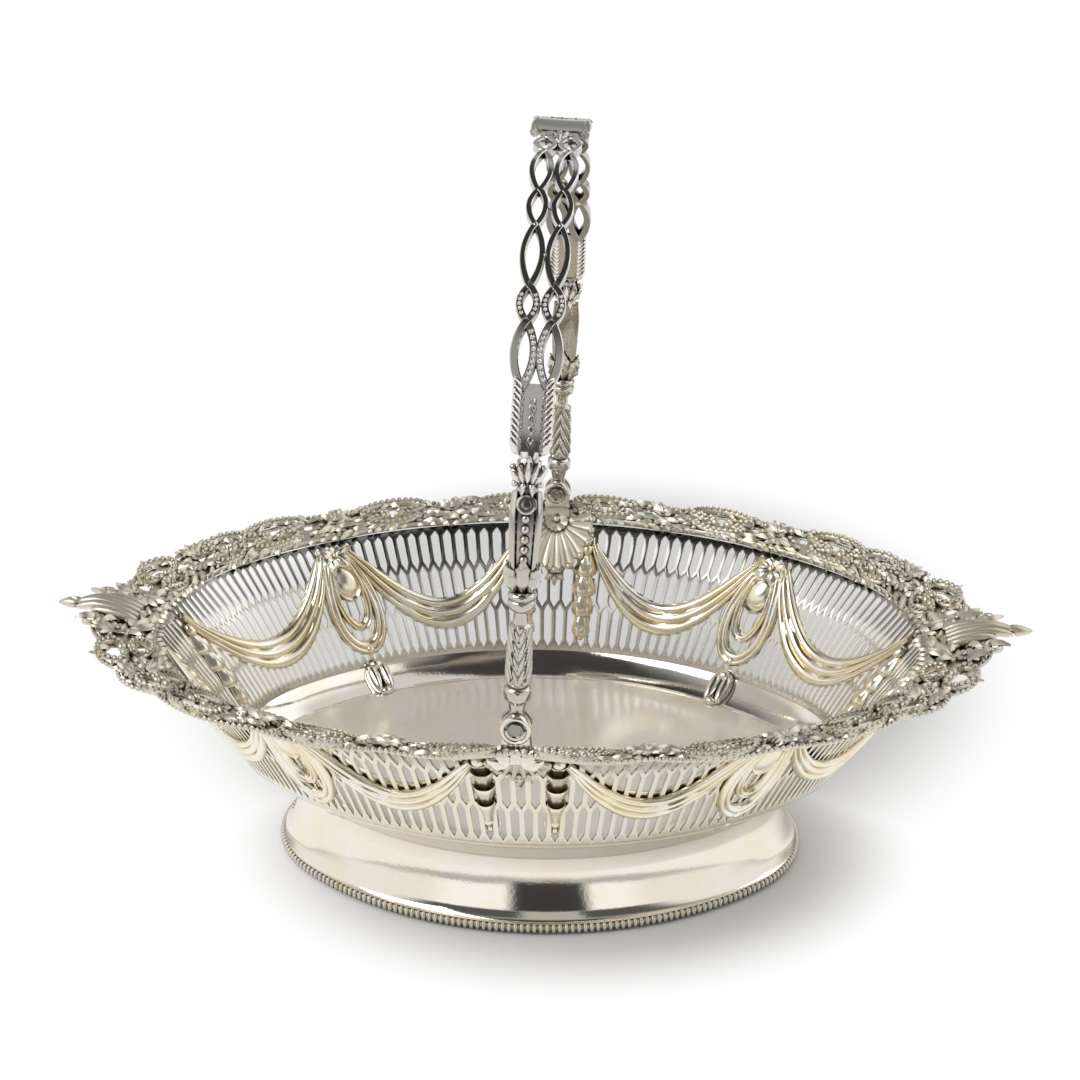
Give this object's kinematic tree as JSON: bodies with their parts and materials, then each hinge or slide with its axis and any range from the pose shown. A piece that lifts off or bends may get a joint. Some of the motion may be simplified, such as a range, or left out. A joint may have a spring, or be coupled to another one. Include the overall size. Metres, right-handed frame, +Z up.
{
  "type": "cake basket",
  "caption": "Oval silver cake basket with a pierced flaring wall, drapery swags, a cast openwork border, an oval foot and a swing handle.",
  "frame": {"origin": "on the surface the basket stands on, under the middle of its foot", "axes": "+X along the basket's length, +Y across it to the back hinge, +Z up"},
  "size_m": [0.38, 0.2394, 0.2919],
  "materials": {
    "sheet_silver": "polished silver sheet",
    "cast_border": "cast silver with dark recesses",
    "gilt_drapery": "cast silver with a warm worn gilding",
    "handle_silver": "cast and polished silver",
    "hinge_silver": "polished silver"
  },
  "bodies": {
    "basket": {"floor_dish": "sheet_silver", "foot_collet": "sheet_silver", "foot_bead_ring": "cast_border", "wall_side_front_left": "sheet_silver", "wall_side_front_right": "sheet_silver", "wall_side_back_left": "sheet_silver", "wall_side_back_right": "sheet_silver", "wall_end_front_left": "sheet_silver", "wall_end_front_right": "sheet_silver", "wall_end_back_left": "sheet_silver", "wall_end_back_right": "sheet_silver", "border_front_left": "cast_border", "border_front_right": "cast_border", "border_back_left": "cast_border", "border_back_right": "cast_border", "border_end_left": "cast_border", "border_end_right": "cast_border", "end_shell_left": "cast_border", "end_shell_right": "cast_border", "swag_side_front_left": "gilt_drapery", "swag_side_front_right": "gilt_drapery", "swag_side_back_left": "gilt_drapery", "swag_side_back_right": "gilt_drapery", "swag_end_front_left": "gilt_drapery", "swag_end_front_right": "gilt_drapery", "swag_end_back_left": "gilt_drapery", "swag_end_back_right": "gilt_drapery", "medallion_front_left": "gilt_drapery", "medallion_front_right": "gilt_drapery", "medallion_back_left": "gilt_drapery", "medallion_back_right": "gilt_drapery", "drop_front_left": "sheet_silver", "drop_front_right": "sheet_silver", "drop_back_left": "sheet_silver", "drop_back_right": "sheet_silver", "tassel_side_front_left": "gilt_drapery", "tassel_side_front_right": "gilt_drapery", "tassel_side_back_left": "gilt_drapery", "tassel_side_back_right": "gilt_drapery", "tassel_end_front_left": "gilt_drapery", "tassel_end_front_right": "gilt_drapery", "tassel_end_back_left": "gilt_drapery", "tassel_end_back_right": "gilt_drapery", "hinge_fan_front": "gilt_drapery", "hinge_fan_back": "gilt_drapery", "hinge_bracket_front": "hinge_silver", "hinge_bracket_back": "hinge_silver", "hinge_pin_front": "hinge_silver", "hinge_pin_back": "hinge_silver"},
    "handle": {"handle_leg_front": "handle_silver", "handle_leg_back": "handle_silver", "handle_bud_front": "handle_silver", "handle_bud_back": "handle_silver", "handle_panel_front": "handle_silver", "handle_panel_back": "handle_silver", "handle_lattice_front": "handle_silver", "handle_lattice_back": "handle_silver", "handle_crown_front": "handle_silver", "handle_crown_back": "handle_silver", "handle_tablet": "handle_silver"}
  },
  "joints": [
    {"name": "handle_swing", "type": "hinge", "parent": "basket", "child": "handle", "pos_m": [0, 0, 0.10575], "axis": [0, 1, 0], "range_deg": [-87, 82]}
  ]
}
